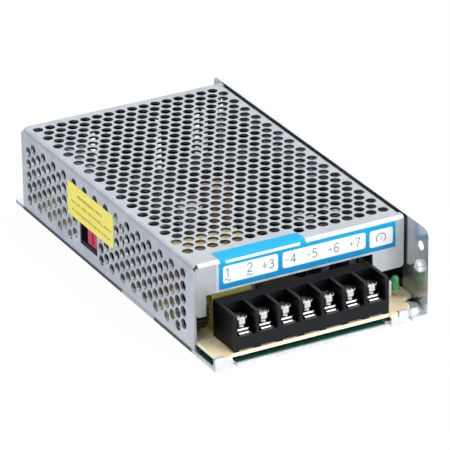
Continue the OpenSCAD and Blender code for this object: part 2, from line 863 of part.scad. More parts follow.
module output_coil_core() {
    color("gold") translate([output_coil_x, output_coil_y, output_coil_z]) ring_core(24, 14, 11);
}

module output_coil_winding() {
    color("chocolate") translate([output_coil_x, output_coil_y, output_coil_z])
        ring_winding(24, 14, 11, 1.3, 27, 15, 345);
}

module output_capacitor(n) {
    x = wall_in - 27.5 + ((n - 1) % 2) * 12.5;
    y = front + 38 + floor((n - 1) / 2) * 12.5;
    color("#1d2430") translate([x, y, board_top]) can(10, room_h - 6.7);
}

chassis();
perforated_cover();
cover_screws();
wall_screw();
insulation_sheet();
circuit_board();
board_screws();
front_label();
side_sticker();
terminal_block();
terminal_plates();
terminal_clamp(1);  // terminal_clamp_1
terminal_clamp(2);  // terminal_clamp_2
terminal_clamp(3);  // terminal_clamp_3
terminal_clamp(4);  // terminal_clamp_4
terminal_clamp(5);  // terminal_clamp_5
terminal_clamp(6);  // terminal_clamp_6
terminal_clamp(7);  // terminal_clamp_7
terminal_screw(1);  // terminal_screw_1
terminal_screw(2);  // terminal_screw_2
terminal_screw(3);  // terminal_screw_3
terminal_screw(4);  // terminal_screw_4
terminal_screw(5);  // terminal_screw_5
terminal_screw(6);  // terminal_screw_6
terminal_screw(7);  // terminal_screw_7
output_led();
trimmer_body();
trimmer_rotor();
selector_body();
selector_slider();
input_fuse();
inrush_thermistor();
surge_varistor();
line_capacitor();
input_coil_core();
input_coil_winding();
filter_choke_core();
filter_choke_winding();
bridge_rectifier();
bulk_capacitor(1);  // bulk_capacitor_1
bulk_capacitor(2);  // bulk_capacitor_2
primary_heatsink();
switching_transistor(1);  // switching_transistor_1
switching_transistor(2);  // switching_transistor_2
transformer_core();
transformer_winding();
safety_capacitor(1);  // safety_capacitor_1
safety_capacitor(2);  // safety_capacitor_2
controller_chip();
optocoupler();
secondary_heatsink();
output_rectifier(1);  // output_rectifier_1
output_rectifier(2);  // output_rectifier_2
output_coil_core();
output_coil_winding();
output_capacitor(1);  // output_capacitor_1
output_capacitor(2);  // output_capacitor_2
output_capacitor(3);  // output_capacitor_3
output_capacitor(4);  // output_capacitor_4
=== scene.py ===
"""Enclosed switching power supply in a perforated case: its finishes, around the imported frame."""
import math
import random

import bmesh
import bpy
from mathutils import Matrix, Vector


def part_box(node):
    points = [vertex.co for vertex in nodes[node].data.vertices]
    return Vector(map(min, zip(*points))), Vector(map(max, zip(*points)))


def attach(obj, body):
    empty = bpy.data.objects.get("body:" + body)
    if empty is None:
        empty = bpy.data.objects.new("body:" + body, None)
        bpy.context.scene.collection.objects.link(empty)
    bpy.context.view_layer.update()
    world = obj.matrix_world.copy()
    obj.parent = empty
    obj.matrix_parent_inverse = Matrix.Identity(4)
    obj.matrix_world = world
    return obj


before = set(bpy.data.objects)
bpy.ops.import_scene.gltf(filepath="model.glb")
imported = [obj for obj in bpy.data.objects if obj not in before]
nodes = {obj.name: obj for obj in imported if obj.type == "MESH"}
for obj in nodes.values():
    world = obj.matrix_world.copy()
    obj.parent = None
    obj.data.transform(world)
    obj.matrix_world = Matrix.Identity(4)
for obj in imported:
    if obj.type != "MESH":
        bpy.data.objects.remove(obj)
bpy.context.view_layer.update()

mm = 0.001

# ---------- Camera ----------
# A long lens some way off, to the left of the terminal end and above it, with the case turned so
# that the perforated side, the top and the terminals all show.

azimuth, elevation, roll = (math.radians(a) for a in (-28.103, 25.427, -0.674))
lens = 299.28
film_width = 36
stand_off = 1.52448
near_case_middle = Vector((-0.5, -1, 19)) * mm
aim_right, aim_down = 3.602 * mm, 3.317 * mm
to_camera = Vector((
    math.sin(azimuth) * math.cos(elevation),
    -math.cos(azimuth) * math.cos(elevation),
    math.sin(elevation),
))
level_right = (-to_camera).cross(Vector((0, 0, 1))).normalized()
level_up = level_right.cross(-to_camera)
right = level_right * math.cos(roll) + level_up * math.sin(roll)
up = level_up * math.cos(roll) - level_right * math.sin(roll)
aim = near_case_middle + right * aim_right - up * aim_down

camera_data = bpy.data.cameras.new("camera")
camera_data.sensor_width = film_width
camera_data.lens = lens
camera_data.clip_start = 0.05
camera_data.clip_end = 50
camera = bpy.data.objects.new("camera", camera_data)
camera_turn = Matrix((right, up, to_camera)).transposed().to_4x4()
camera.matrix_world = Matrix.Translation(aim + to_camera * stand_off) @ camera_turn
bpy.context.scene.collection.objects.link(camera)
bpy.context.scene.camera = camera
bpy.context.scene.view_settings.view_transform = "Standard"

# ---------- Studio ----------
# A white sweep in a white room. Polished metal sees the room white to the front right, grey to the
# left and dark in a band low on its walls. Three softboxes light the case: from the front right,
# from above and from the left.


def empty_material(name):
    """A material with no nodes yet, and its node tree."""
    material = bpy.data.materials.new(name)
    material.use_nodes = True
    material.node_tree.nodes.clear()
    return material, material.node_tree


def node(tree, kind, **values):
    """A shader node with its properties and input values set by name."""
    made = tree.nodes.new(kind)
    for name, value in values.items():
        label = name.replace("_", " ")
        socket = next((s for s in made.inputs if s.name.lower() == label.lower()), None)
        if socket:
            socket.default_value = value
        else:
            setattr(made, name, value)
    return made


def number(tree, operation, a, b=0.0):
    """A maths node on a socket or number a and a socket or number b."""
    made = node(tree, "ShaderNodeMath", operation=operation)
    for socket, value in zip(made.inputs, (a, b)):
        if isinstance(value, (int, float)):
            socket.default_value = value
        else:
            tree.links.new(value, socket)
    return made.outputs[0]


def ramp(tree, share, stops):
    """A colour ramp fed by share, with stops as (place, colour). Gives its colour output."""
    made = tree.nodes.new("ShaderNodeValToRGB")
    elements = made.color_ramp.elements
    while len(elements) > len(stops):
        elements.remove(elements[-1])
    while len(elements) < len(stops):
        elements.new(1.0)
    for element, (place, colour) in zip(elements, stops):
        element.position = place
        element.color = (*colour[:3], 1)
    tree.links.new(share, made.inputs["Fac"])
    return made.outputs["Color"]


def either_shader(tree, choice, plain, special):
    """Mixes two shaders: plain where choice is 0, special where it is 1."""
    mix = node(tree, "ShaderNodeMixShader")
    tree.links.new(choice, mix.inputs[0])
    tree.links.new(plain, mix.inputs[1])
    tree.links.new(special, mix.inputs[2])
    return mix.outputs[0]


room_grey = (0.56, 0.60, 0.67)
room_middle = (0.72, 0.75, 0.79)
room_white = (1.0, 1.0, 1.0)
band_dark = (0.12, 0.12, 0.13)
band_foot = (0.9, 0.9, 0.9)


def room_tone(tree, place, bright_way, grey_end, white_end, middle):
    """The room's colour at a place, from grey to white along bright_way, with its middle tone at a
    share of the distance between the two ends."""
    along_way = node(tree, "ShaderNodeVectorMath", operation="DOT_PRODUCT")
    along_way.inputs[1].default_value = bright_way
    tree.links.new(place, along_way.inputs[0])
    share = node(tree, "ShaderNodeMapRange", from_min=grey_end, from_max=white_end)
    tree.links.new(along_way.outputs["Value"], share.inputs["Value"])
    return ramp(tree, share.outputs["Result"], [(0.0, room_grey), (middle, room_middle), (1.0, room_white)])


world = bpy.data.worlds.new("white_room")
world.use_nodes = True
bpy.context.scene.world = world
world_tree = world.node_tree
world_tree.nodes.clear()
looking = node(world_tree, "ShaderNodeTexCoord").outputs["Generated"]
walls = room_tone(world_tree, looking, (0.80, -0.50, 0.33), -0.75, 0.85, middle=0.55)
heights = node(world_tree, "ShaderNodeSeparateXYZ")
world_tree.links.new(looking, heights.inputs["Vector"])
band = ramp(world_tree, heights.outputs["Z"], [
    (0.0, band_foot), (0.03, band_dark), (0.20, band_dark), (0.30, room_white),
])
banded = node(world_tree, "ShaderNodeMix", data_type="RGBA", blend_type="MULTIPLY")
banded.inputs["Factor"].default_value = 1.0
world_tree.links.new(walls, banded.inputs[6])
world_tree.links.new(band, banded.inputs[7])
backdrop_white = node(world_tree, "ShaderNodeBackground", color=(1, 1, 1, 1), strength=1.0)
room_seen = node(world_tree, "ShaderNodeBackground", strength=1.0)
world_tree.links.new(banded.outputs[2], room_seen.inputs["Color"])
room_glow = node(world_tree, "ShaderNodeBackground", color=(0.92, 0.96, 1.0, 1), strength=0.42)
world_path = node(world_tree, "ShaderNodeLightPath")
room_for_metal = either_shader(
    world_tree, world_path.outputs["Is Glossy Ray"], room_glow.outputs[0], room_seen.outputs[0],
)
room_for_camera = either_shader(
    world_tree, world_path.outputs["Is Camera Ray"], room_for_metal, backdrop_white.outputs[0],
)
world_out = node(world_tree, "ShaderNodeOutputWorld")
world_tree.links.new(room_for_camera, world_out.inputs["Surface"])

floor_half = 1.6
floor_drop = 0.02 * mm
floor_corners = [(x * floor_half, y * floor_half, 0) for x, y in ((-1, -1), (1, -1), (1, 1), (-1, 1))]
floor_mesh = bpy.data.meshes.new("sweep")
floor_mesh.from_pydata(floor_corners, [], [(0, 1, 2, 3)])
floor = bpy.data.objects.new("sweep", floor_mesh)
floor.location.z = -floor_drop
bpy.context.scene.collection.objects.link(floor)
paper, paper_tree = empty_material("white_sweep")
paper_matte = node(paper_tree, "ShaderNodeBsdfDiffuse", color=(0.86, 0.86, 0.86, 1))
paper_white = node(paper_tree, "ShaderNodeEmission", color=(1, 1, 1, 1), strength=1.0)
paper_mirrored = node(paper_tree, "ShaderNodeEmission", strength=1.0)
paper_place = node(paper_tree, "ShaderNodeTexCoord").outputs["Object"]
paper_tone = room_tone(paper_tree, paper_place, (1.0, -0.8, 0.0), -0.06, 0.035, middle=0.5)
paper_tree.links.new(paper_tone, paper_mirrored.inputs["Color"])
paper_path = node(paper_tree, "ShaderNodeLightPath")
# the camera sees the paper nearly white, with a trace of the case's shadow
shadow_seen = 0.035
paper_share = number(paper_tree, "MULTIPLY", paper_path.outputs["Is Camera Ray"], 1 - shadow_seen)
paper_for_metal = either_shader(
    paper_tree, paper_path.outputs["Is Glossy Ray"], paper_matte.outputs[0], paper_mirrored.outputs[0],
)
paper_for_camera = either_shader(paper_tree, paper_share, paper_for_metal, paper_white.outputs[0])
paper_out = node(paper_tree, "ShaderNodeOutputMaterial")
paper_tree.links.new(paper_for_camera, paper_out.inputs["Surface"])
floor_mesh.materials.append(paper)

lamp_target = Vector((0, 0, 0.02))


def softbox(name, place, size, watts):
    """A square area lamp that faces the case."""
    data = bpy.data.lights.new(name, "AREA")
    data.size = size
    data.energy = watts
    lamp = bpy.data.objects.new(name, data)
    lamp.location = place
    lamp.rotation_euler = (lamp_target - Vector(place)).to_track_quat("-Z", "Y").to_euler()
    bpy.context.scene.collection.objects.link(lamp)


softbox("front_softbox", (0.55, -0.90, 0.55), 0.85, 9.5)
softbox("overhead_softbox", (0.25, 0.25, 1.0), 0.9, 8.0)
softbox("left_softbox", (-0.95, -0.25, 0.45), 0.5, 3.0)


# ---------- Chassis ----------
# An L of 1.5 mm galvanised steel: the plate that everything stands on and the solid right wall.
# The zinc is satin, a little mottled, with fine rolling lines along the sheet; under the cover the
# wall's inner face is painted near black as shade.


def surface(
    name, base, roughness, metallic=0.0, mottle=0.06, mottle_size=6.0, bump=0.05, bump_size=0.5,
    grain=(1, 1, 1), **sockets,
):
    """A finish with mottled colour, uneven gloss and a fine bump. Sizes are in millimetres.

    grain stretches the fine bump along an axis: a small number there makes it long.
    """
    material, tree = empty_material(name)
    place = node(tree, "ShaderNodeTexCoord")
    stretch = node(tree, "ShaderNodeMapping", scale=grain)
    cloud = node(tree, "ShaderNodeTexNoise", scale=1 / (mottle_size * mm), detail=4.0, roughness=0.6)
    fine = node(tree, "ShaderNodeTexNoise", scale=1 / (bump_size * mm), detail=3.0, roughness=0.55)
    tree.links.new(place.outputs["Object"], stretch.inputs["Vector"])
    tree.links.new(place.outputs["Object"], cloud.inputs["Vector"])
    tree.links.new(stretch.outputs["Vector"], fine.inputs["Vector"])
    dark = [c * (1 - mottle) for c in base]
    light = [min(1, c * (1 + mottle)) for c in base]
    tint = ramp(tree, cloud.outputs["Fac"], [(0.3, dark), (0.7, light)])
    gloss = node(
        tree, "ShaderNodeMapRange", from_min=0.25, from_max=0.75,
        to_min=roughness * 0.85, to_max=min(1, roughness * 1.2),
    )
    tree.links.new(fine.outputs["Fac"], gloss.inputs["Value"])
    relief = node(tree, "ShaderNodeBump", strength=0.4, distance=bump * mm)
    tree.links.new(fine.outputs["Fac"], relief.inputs["Height"])
    shader = node(tree, "ShaderNodeBsdfPrincipled", metallic=metallic)
    shader.name = "finish"
    for key, value in sockets.items():
        shader.inputs[key.replace("_", " ")].default_value = value
    out = node(tree, "ShaderNodeOutputMaterial")
    tree.links.new(tint, shader.inputs["Base Color"])
    tree.links.new(gloss.outputs["Result"], shader.inputs["Roughness"])
    tree.links.new(relief.outputs["Normal"], shader.inputs["Normal"])
    tree.links.new(shader.outputs["BSDF"], out.inputs["Surface"])
    return material


def dress(material, *names):
    """Gives the finish to CAD pieces."""
    for name in names:
        for slot in nodes[name].material_slots:
            slot.material = material


def position(tree, axis):
    """The place along one axis, in metres, in the frame of the case."""
    place = node(tree, "ShaderNodeTexCoord")
    apart = node(tree, "ShaderNodeSeparateXYZ")
    tree.links.new(place.outputs["Object"], apart.inputs["Vector"])
    return apart.outputs[axis]


def facing(tree, axis):
    """How far the surface faces along one axis, -1 to 1."""
    geometry = node(tree, "ShaderNodeNewGeometry")
    apart = node(tree, "ShaderNodeSeparateXYZ")
    tree.links.new(geometry.outputs["True Normal"], apart.inputs["Vector"])
    return apart.outputs[axis]


def above(tree, value, limit):
    """1 where the value is over the limit."""
    return number(tree, "GREATER_THAN", value, limit)


def below(tree, value, limit):
    """1 where the value is under the limit."""
    return number(tree, "LESS_THAN", value, limit)


def product(tree, *shares):
    """The product of sockets or numbers: 1 only where every one of them is 1."""
    result = shares[0]
    for share in shares[1:]:
        result = number(tree, "MULTIPLY", result, share)
    return result


def between(tree, value, low, high):
    """1 where the value lies between two numbers."""
    return product(tree, above(tree, value, low), below(tree, value, high))


def lowered(tree, choice, share=1.0):
    """1 outside the choice, and 1 less the share inside it."""
    return number(tree, "SUBTRACT", 1.0, product(tree, choice, share))


def recolour(material, choice, colour, share=1.0):
    """Lays a share of a colour over the finish where choice is 1."""
    tree = material.node_tree
    base = tree.nodes["finish"].inputs["Base Color"]
    mix = node(tree, "ShaderNodeMix", data_type="RGBA")
    mix.inputs[7].default_value = (*colour, 1)
    tree.links.new(base.links[0].from_socket, mix.inputs[6])
    tree.links.new(product(tree, choice, share), mix.inputs["Factor"])
    tree.links.new(mix.outputs[2], base)


def scale_input(material, name, factor):
    """Multiplies a linked or plain input of the finish by a socket."""
    tree = material.node_tree
    socket = tree.nodes["finish"].inputs[name]
    before = socket.links[0].from_socket if socket.links else socket.default_value
    tree.links.new(number(tree, "MULTIPLY", factor, before), socket)


galvanised = surface(
    "galvanised_sheet", (0.84, 0.86, 0.88), 0.36, metallic=0.55,
    mottle=0.10, mottle_size=7, bump=0.02, bump_size=0.6, grain=(1, 0.12, 1),
)
# near black, painted on inside faces as the shade within the case
inside_shade_colour = (0.05, 0.055, 0.06)
cover_low, cover_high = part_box("perforated_cover")
zinc_tree = galvanised.node_tree
along = position(zinc_tree, "Y")
inner_wall = below(zinc_tree, facing(zinc_tree, "X"), -0.5)
# painted shade: under the cover, two lengths of the wall's inner face are near black, with plain zinc between
front_shade_start, front_shade_end, rear_shade_start = (cover_low.y + y * mm for y in (2, 34, 62))
front_shade = between(zinc_tree, along, front_shade_start, front_shade_end)
rear_shade = between(zinc_tree, along, rear_shade_start, cover_high.y)
wall_shade = number(zinc_tree, "MAXIMUM", front_shade, rear_shade)
# the rim in the slit beside the cover is in half shade all along
slit_shade = 0.65
rim_height = 1.5 * mm
at_rim = above(zinc_tree, position(zinc_tree, "Z"), cover_high.z - rim_height)
in_slit = product(zinc_tree, at_rim, between(zinc_tree, along, cover_low.y, cover_high.y))
wall_shade = number(zinc_tree, "SUBTRACT", wall_shade, product(zinc_tree, in_slit, 1 - slit_shade))
wall_shade = number(zinc_tree, "MAXIMUM", wall_shade, product(zinc_tree, in_slit, slit_shade))
# the wall's whole inner face is given a darker grey
recolour(galvanised, inner_wall, (0.30, 0.31, 0.32), share=0.45)
recolour(galvanised, product(zinc_tree, inner_wall, wall_shade), inside_shade_colour)
# the wall's inner face kept the mill's gloss
smoother, more_metallic = 0.36, 0.7
scale_input(galvanised, "Roughness", lowered(zinc_tree, inner_wall, smoother))
brighter_wall = number(zinc_tree, "ADD", 1.0, product(zinc_tree, inner_wall, more_metallic))
scale_input(galvanised, "Metallic", brighter_wall)
dress(galvanised, "chassis")

# ---------- Perforated cover ----------
# One folded sheet of 1 mm galvanised steel with punched vent holes, fixed to the chassis wall by
# two countersunk screws. Its rolling lines run across the case, and its inside is painted near black as
# shade.

cover_zinc = surface(
    "cover_sheet", (0.70, 0.73, 0.76), 0.42, metallic=0.8,
    mottle=0.10, mottle_size=9, bump=0.015, bump_size=0.5, grain=(0.15, 1, 1),
)
cover_tree = cover_zinc.node_tree
cover_x, cover_y, cover_z = (position(cover_tree, axis) for axis in "XYZ")
faces_x, faces_y, faces_z = (facing(cover_tree, axis) for axis in "XYZ")
square_on = 0.9
near_wall = 2 * mm
# painted shade: the inside faces of the top, the left side, the front and the back are near black
cover_shade_faces = (
    (above(cover_tree, faces_x, square_on), below(cover_tree, cover_x, cover_low.x + near_wall)),
    (above(cover_tree, faces_y, square_on), below(cover_tree, cover_y, cover_low.y + near_wall)),
    (below(cover_tree, faces_y, -square_on), above(cover_tree, cover_y, cover_high.y - near_wall)),
)
cover_shade = below(cover_tree, faces_z, -square_on)
for turned_in, beside in cover_shade_faces:
    cover_shade = number(cover_tree, "MAXIMUM", cover_shade, product(cover_tree, turned_in, beside))
recolour(cover_zinc, cover_shade, inside_shade_colour)

# painted shade: the walls of the punched vents are painted dark below a thin lip of plain sheet
lip = 0.16 * mm
sheet = 1.1 * mm
bend_room = 2.4 * mm
foot_room = 1 * mm
inside_x = between(cover_tree, cover_x, cover_low.x + bend_room, cover_high.x - bend_room)
inside_y = between(cover_tree, cover_y, cover_low.y + bend_room, cover_high.y - bend_room)
inside_z = between(cover_tree, cover_z, cover_low.z + foot_room, cover_high.z - bend_room)
in_top = between(cover_tree, cover_z, cover_high.z - sheet, cover_high.z - lip)
in_side = between(cover_tree, cover_x, cover_low.x + lip, cover_low.x + sheet)
upright = below(cover_tree, number(cover_tree, "ABSOLUTE", faces_z), 0.5)
endwise = below(cover_tree, number(cover_tree, "ABSOLUTE", faces_x), 0.5)
top_vent_shade = product(cover_tree, inside_x, inside_y, in_top, upright)
side_vent_shade = product(cover_tree, inside_z, inside_y, in_side, endwise)
recolour(cover_zinc, top_vent_shade, (0.035, 0.037, 0.042))
recolour(cover_zinc, side_vent_shade, (0.05, 0.052, 0.055), share=0.2)

# painted shade: the top, more so towards the front, the front leg and the front bend are painted darker than
# the side; on the bend this also damps its highlight
rear_top_shade, top_shade_per_metre = 0.38, 0.9
from_rear = number(cover_tree, "SUBTRACT", cover_high.y, cover_y)
top_shade = number(cover_tree, "ADD", product(cover_tree, from_rear, top_shade_per_metre), rear_top_shade)
on_top = above(cover_tree, faces_z, square_on)
recolour(cover_zinc, product(cover_tree, on_top, top_shade), (0.28, 0.30, 0.31))
leg_width = 10 * mm
on_leg = product(
    cover_tree, below(cover_tree, faces_y, -square_on), below(cover_tree, cover_x, cover_low.x + leg_width),
)
recolour(cover_zinc, on_leg, (0.40, 0.43, 0.46), share=0.5)
bend_height = 1.6 * mm
on_bend = product(
    cover_tree, between(cover_tree, faces_y, -0.97, -0.15),
    above(cover_tree, cover_z, cover_high.z - bend_height),
)
recolour(cover_zinc, on_bend, (0.28, 0.30, 0.33), share=0.55)
scale_input(cover_zinc, "Roughness", lowered(cover_tree, on_bend, 0.22))
dress(cover_zinc, "perforated_cover")

# ---------- Screws in the case ----------
# Zinc and nickel plated steel screws: two in the chassis wall for the cover, one bright one at the
# front of the wall, and five that hold the board.

bright_zinc = surface(
    "bright_zinc", (0.86, 0.86, 0.85), 0.2, metallic=1.0,
    mottle=0.05, mottle_size=2, bump=0.01, bump_size=0.3,
)
dress(bright_zinc, "cover_screws", "board_screws")
bright_head = surface(
    "bright_head", (1.0, 1.0, 1.0), 0.25, metallic=0.5,
    mottle=0.05, mottle_size=1.2, bump=0.05, bump_size=0.8,
)
dress(bright_head, "wall_screw")

# ---------- Board and its insulation ----------
# A pale paper-based board with cream cut edges and a dark green solder mask underneath, over a
# dark green plastic film. It lies dark in the shade of the cover, but for a pale stretch at the
# left. Dark print marks the places of the lamp and of the terminal block.

board_low, board_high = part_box("circuit_board")
board_finish = surface(
    "board_laminate", (0.95, 0.80, 0.50), 0.42, mottle=0.08, mottle_size=3, bump=0.02, bump_size=0.25,
)
board_tree = board_finish.node_tree
board_up = facing(board_tree, "Z")
board_x, board_y = position(board_tree, "X"), position(board_tree, "Y")
pale_width = 26 * mm
shade_start, pale_end, pale_again = (cover_low.y + y * mm for y in (9, 40, 94))
past_pale = above(board_tree, board_x, board_low.x + pale_width)
no_pale = between(board_tree, board_y, pale_end, pale_again)
shaded = product(
    board_tree, above(board_tree, board_y, shade_start), number(board_tree, "MAXIMUM", past_pale, no_pale),
)
cut_edge = below(board_tree, number(board_tree, "ABSOLUTE", board_up), 0.5)
underneath = below(board_tree, board_up, -0.5)
# painted shade: the board is near black where the cover shades it, but for the pale stretch at the left
recolour(board_finish, shaded, (0.03, 0.032, 0.035), share=0.93)
recolour(board_finish, cut_edge, (1.0, 0.93, 0.70))
recolour(board_finish, underneath, (0.012, 0.09, 0.055))
dress(board_finish, "circuit_board")

film = surface(
    "insulation_film", (0.015, 0.085, 0.055), 0.25, mottle=0.25, mottle_size=4, bump=0.05, bump_size=2,
)
dress(film, "insulation_sheet")


def link_piece(name, mesh, material, body="case"):
    """Puts a new piece in the scene, on a body, with its finish."""
    piece = bpy.data.objects.new(name, mesh)
    bpy.context.scene.collection.objects.link(piece)
    mesh.materials.append(material)
    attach(piece, body)
    return piece


def thin_plates(name, outlines, place, push):
    """Flat printed areas: each outline becomes a closed plate. place maps (u, v) to a corner, and
    push is the plate's thickness as a vector towards the viewer."""
    mesh = bpy.data.meshes.new(name)
    build = bmesh.new()
    for outline in outlines:
        lower = [build.verts.new(place(u, v)) for u, v in outline]
        upper = [build.verts.new(place(u, v) + push) for u, v in outline]
        build.faces.new(lower)
        build.faces.new(list(reversed(upper)))
        for i, a in enumerate(lower):
            j = (i + 1) % len(lower)
            build.faces.new((lower[j], a, upper[i], upper[j]))
    bmesh.ops.recalc_face_normals(build, faces=build.faces)
    build.to_mesh(mesh)
    build.free()
    return mesh


def strokes(points, width):
    """A printed line as one four-cornered outline for each of its straight parts."""
    outlines = []
    half = width / 2
    for (ax, ay), (bx, by) in zip(points, points[1:]):
        length = math.hypot(bx - ax, by - ay)
        ux, uy = (bx - ax) / length * half, (by - ay) / length * half
        # each end runs on a little, so that the parts join
        ax, ay, bx, by = ax - ux * 0.8, ay - uy * 0.8, bx + ux * 0.8, by + uy * 0.8
        outlines.append([(ax - uy, ay + ux), (ax + uy, ay - ux), (bx + uy, by - ux), (bx - uy, by + ux)])
    return outlines


def arc(cx, cy, radius, start, end, steps=14):
    """Points along part of a circle, angles in degrees."""
    angles = [math.radians(start + (end - start) * i / steps) for i in range(steps + 1)]
    return [(cx + radius * math.cos(a), cy + radius * math.sin(a)) for a in angles]


led_low, led_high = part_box("output_led")
led_middle = (led_low + led_high) / 2
block_low, block_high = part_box("terminal_block")
print_line = 0.22 * mm
lamp_ring = 3.0 * mm
block_mark = block_low.x - 0.6 * mm
board_marks = strokes(arc(led_middle.x, led_middle.y, lamp_ring, -150, -30), print_line)
board_marks += strokes(arc(led_middle.x, led_middle.y, lamp_ring, 60, 120), print_line)
board_marks += strokes([(block_mark, block_low.y + y * mm) for y in (1, 6)], print_line)
board_print = surface(
    "board_print", (0.10, 0.08, 0.05), 0.5, mottle=0.1, mottle_size=1, bump=0.01, bump_size=0.2,
)
board_print_mesh = thin_plates(
    "board_print", board_marks, lambda u, v: Vector((u, v, board_high.z)), Vector((0, 0, 0.03 * mm)),
)
link_piece("board_print", board_print_mesh, board_print)

# ---------- Front label ----------
# A printed blue film on the front flange that folds back over the top edge. White windows stand
# over the terminals, with plain numbers and signs in dark blue, under one plain white line.

label_low, label_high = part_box("front_label")
label_blue = surface(
    "label_blue", (0.0, 0.25, 0.56), 0.4,
    mottle=0.03, mottle_size=4, bump=0.01, bump_size=0.4, Specular_IOR_Level=0.2,
)
label_tree = label_blue.node_tree
label_x, label_z = position(label_tree, "X"), position(label_tree, "Z")
label_rise = node(label_tree, "ShaderNodeMapRange", from_min=label_low.z, from_max=label_high.z)
label_tree.links.new(label_z, label_rise.inputs["Value"])
# the blue turns lighter towards the top of the label
recolour(label_blue, label_rise.outputs["Result"], (0.0, 0.40, 0.76))
line_start, line_end, line_foot, line_top = (v * mm for v in (3.0, 36.0, 10.9, 12.0))
white_line = product(
    label_tree,
    between(label_tree, label_x, label_low.x + line_start, label_low.x + line_end),
    between(label_tree, label_z, label_low.z + line_foot, label_low.z + line_top),
)
recolour(label_blue, white_line, (0.96, 0.97, 0.98))
dress(label_blue, "front_label")

# each window's left, right, foot and top, from the label's lower left corner
window_edges = ((1.7, 26.0, 2.3, 9.7), (28.1, 65.5, 2.5, 9.5), (67.4, 78.0, 1.9, 9.2))
window_radius = 1.0 * mm
print_thickness = 0.02 * mm
ink_thickness = 0.015 * mm
windows = []
for edges in window_edges:
    x0, x1, z0, z1 = (v * mm for v in edges)
    x0, x1, z0, z1 = x0 + window_radius, x1 - window_radius, z0 + window_radius, z1 - window_radius
    outline = []
    for quarter, (x, z) in enumerate(((x1, z1), (x0, z1), (x0, z0), (x1, z0))):
        outline += arc(x, z, window_radius, quarter * 90, quarter * 90 + 90, 6)
    windows.append(outline)


def on_flange(u, v):
    """A corner on the face of the label, from its lower left corner."""
    return Vector((label_low.x + u, label_low.y, label_low.z + v))


def on_windows(u, v):
    """A corner on the face of the white windows."""
    return on_flange(u, v) + Vector((0, -print_thickness, 0))


label_white = surface(
    "label_white", (0.93, 0.94, 0.95), 0.35, mottle=0.02, mottle_size=4, bump=0.01, bump_size=0.4,
)
windows_mesh = thin_plates("label_windows", windows, on_flange, Vector((0, -print_thickness, 0)))
link_piece("label_windows", windows_mesh, label_white)

# digits drawn in a box 1 high and about 0.55 wide
digit_lines = {
    1: [[(0.10, 0.78), (0.30, 1.0), (0.30, 0.0)]],
    2: [[
        (0.02, 0.80), (0.12, 0.95), (0.28, 1.0), (0.45, 0.93), (0.52, 0.75), (0.44, 0.52), (0.0, 0.0),
        (0.54, 0.0),
    ]],
    3: [[
        (0.04, 0.92), (0.24, 1.0), (0.46, 0.90), (0.46, 0.64), (0.24, 0.54), (0.48, 0.44), (0.50, 0.14),
        (0.26, 0.0), (0.02, 0.08),
    ]],
    4: [[(0.40, 0.0), (0.40, 1.0), (0.0, 0.30), (0.56, 0.30)]],
    5: [[
        (0.48, 1.0), (0.08, 1.0), (0.05, 0.56), (0.28, 0.62), (0.48, 0.48), (0.50, 0.18), (0.28, 0.0),
        (0.02, 0.08),
    ]],
    6: [[
        (0.46, 0.95), (0.26, 1.0), (0.06, 0.76), (0.02, 0.30), (0.14, 0.04), (0.34, 0.0), (0.50, 0.14),
        (0.50, 0.42), (0.34, 0.56), (0.06, 0.46),
    ]],
    7: [[(0.0, 1.0), (0.52, 1.0), (0.18, 0.0)]],
}
digit_high = 3.7 * mm
digit_middle = 0.27
ink = 0.36 * mm
sign_ink = 0.28 * mm
wave_parts, wave_long, wave_high, wave_middle = 8, 2.6 * mm, 0.45 * mm, 3.6 * mm
marks = []
for terminal in range(1, 8):
    low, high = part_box(f"terminal_screw_{terminal}")
    u = (low.x + high.x) / 2 - label_low.x
    digit_foot = (4.9 if terminal < 3 else 4.1) * mm
    for line in digit_lines[terminal]:
        points = [(u + (x - digit_middle) * digit_high, digit_foot + y * digit_high) for x, y in line]
        marks += strokes(points, ink)
    if terminal < 3:
        # alternating current, below the number
        shares = [part / wave_parts for part in range(wave_parts + 1)]
        wave = [(u + (s - 0.5) * wave_long, wave_middle + wave_high * math.sin(s * math.tau)) for s in shares]
        marks += strokes(wave, sign_ink)
    elif terminal == 3:
        # earth, beside the number: a stem on three bars
        earth = u - 3.0 * mm
        marks += strokes([(earth, 7.4 * mm), (earth, 6.0 * mm)], sign_ink)
        for row, half in enumerate((0.9, 0.6, 0.3)):
            bar = (6.0 - row * 0.55) * mm
            marks += strokes([(earth - half * mm, bar), (earth + half * mm, bar)], sign_ink)
    else:
        # minus beside 4 and 5, plus beside 6 and 7
        marks += strokes([(u - 3.5 * mm, 5.9 * mm), (u - 2.2 * mm, 5.9 * mm)], sign_ink)
        if terminal > 5:
            marks += strokes([(u - 2.85 * mm, 5.25 * mm), (u - 2.85 * mm, 6.55 * mm)], sign_ink)
# adjust: most of a circle with an arrow head, round an upright stroke
dial_x, dial_y = 72.6 * mm, 5.3 * mm
arrow_head = ((1.0, -1.3), (1.75, -1.15), (1.95, -0.35))
marks += strokes(arc(dial_x, dial_y, 2.1 * mm, 215, -35, 18), ink)
marks += strokes([(dial_x + x * mm, dial_y + y * mm) for x, y in arrow_head], sign_ink)
marks += strokes([(dial_x, dial_y - 0.9 * mm), (dial_x, dial_y + 1.0 * mm)], sign_ink)
label_ink = surface(
    "label_ink", (0.03, 0.14, 0.23), 0.4, mottle=0.05, mottle_size=2, bump=0.01, bump_size=0.3,
)
marks_mesh = thin_plates("label_marks", marks, on_windows, Vector((0, -ink_thickness, 0)))
link_piece("label_marks", marks_mesh, label_ink)

# ---------- Side sticker ----------
# A yellow paper sticker on the perforated side, over some of its vents. Its print is left as three
# rows of plain bars of uneven length.

sticker_low, sticker_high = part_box("side_sticker")
sticker_yellow = surface(
    "sticker_yellow", (1.0, 0.86, 0.15), 0.5, mottle=0.04, mottle_size=6, bump=0.03, bump_size=1.5,
)
dress(sticker_yellow, "side_sticker")
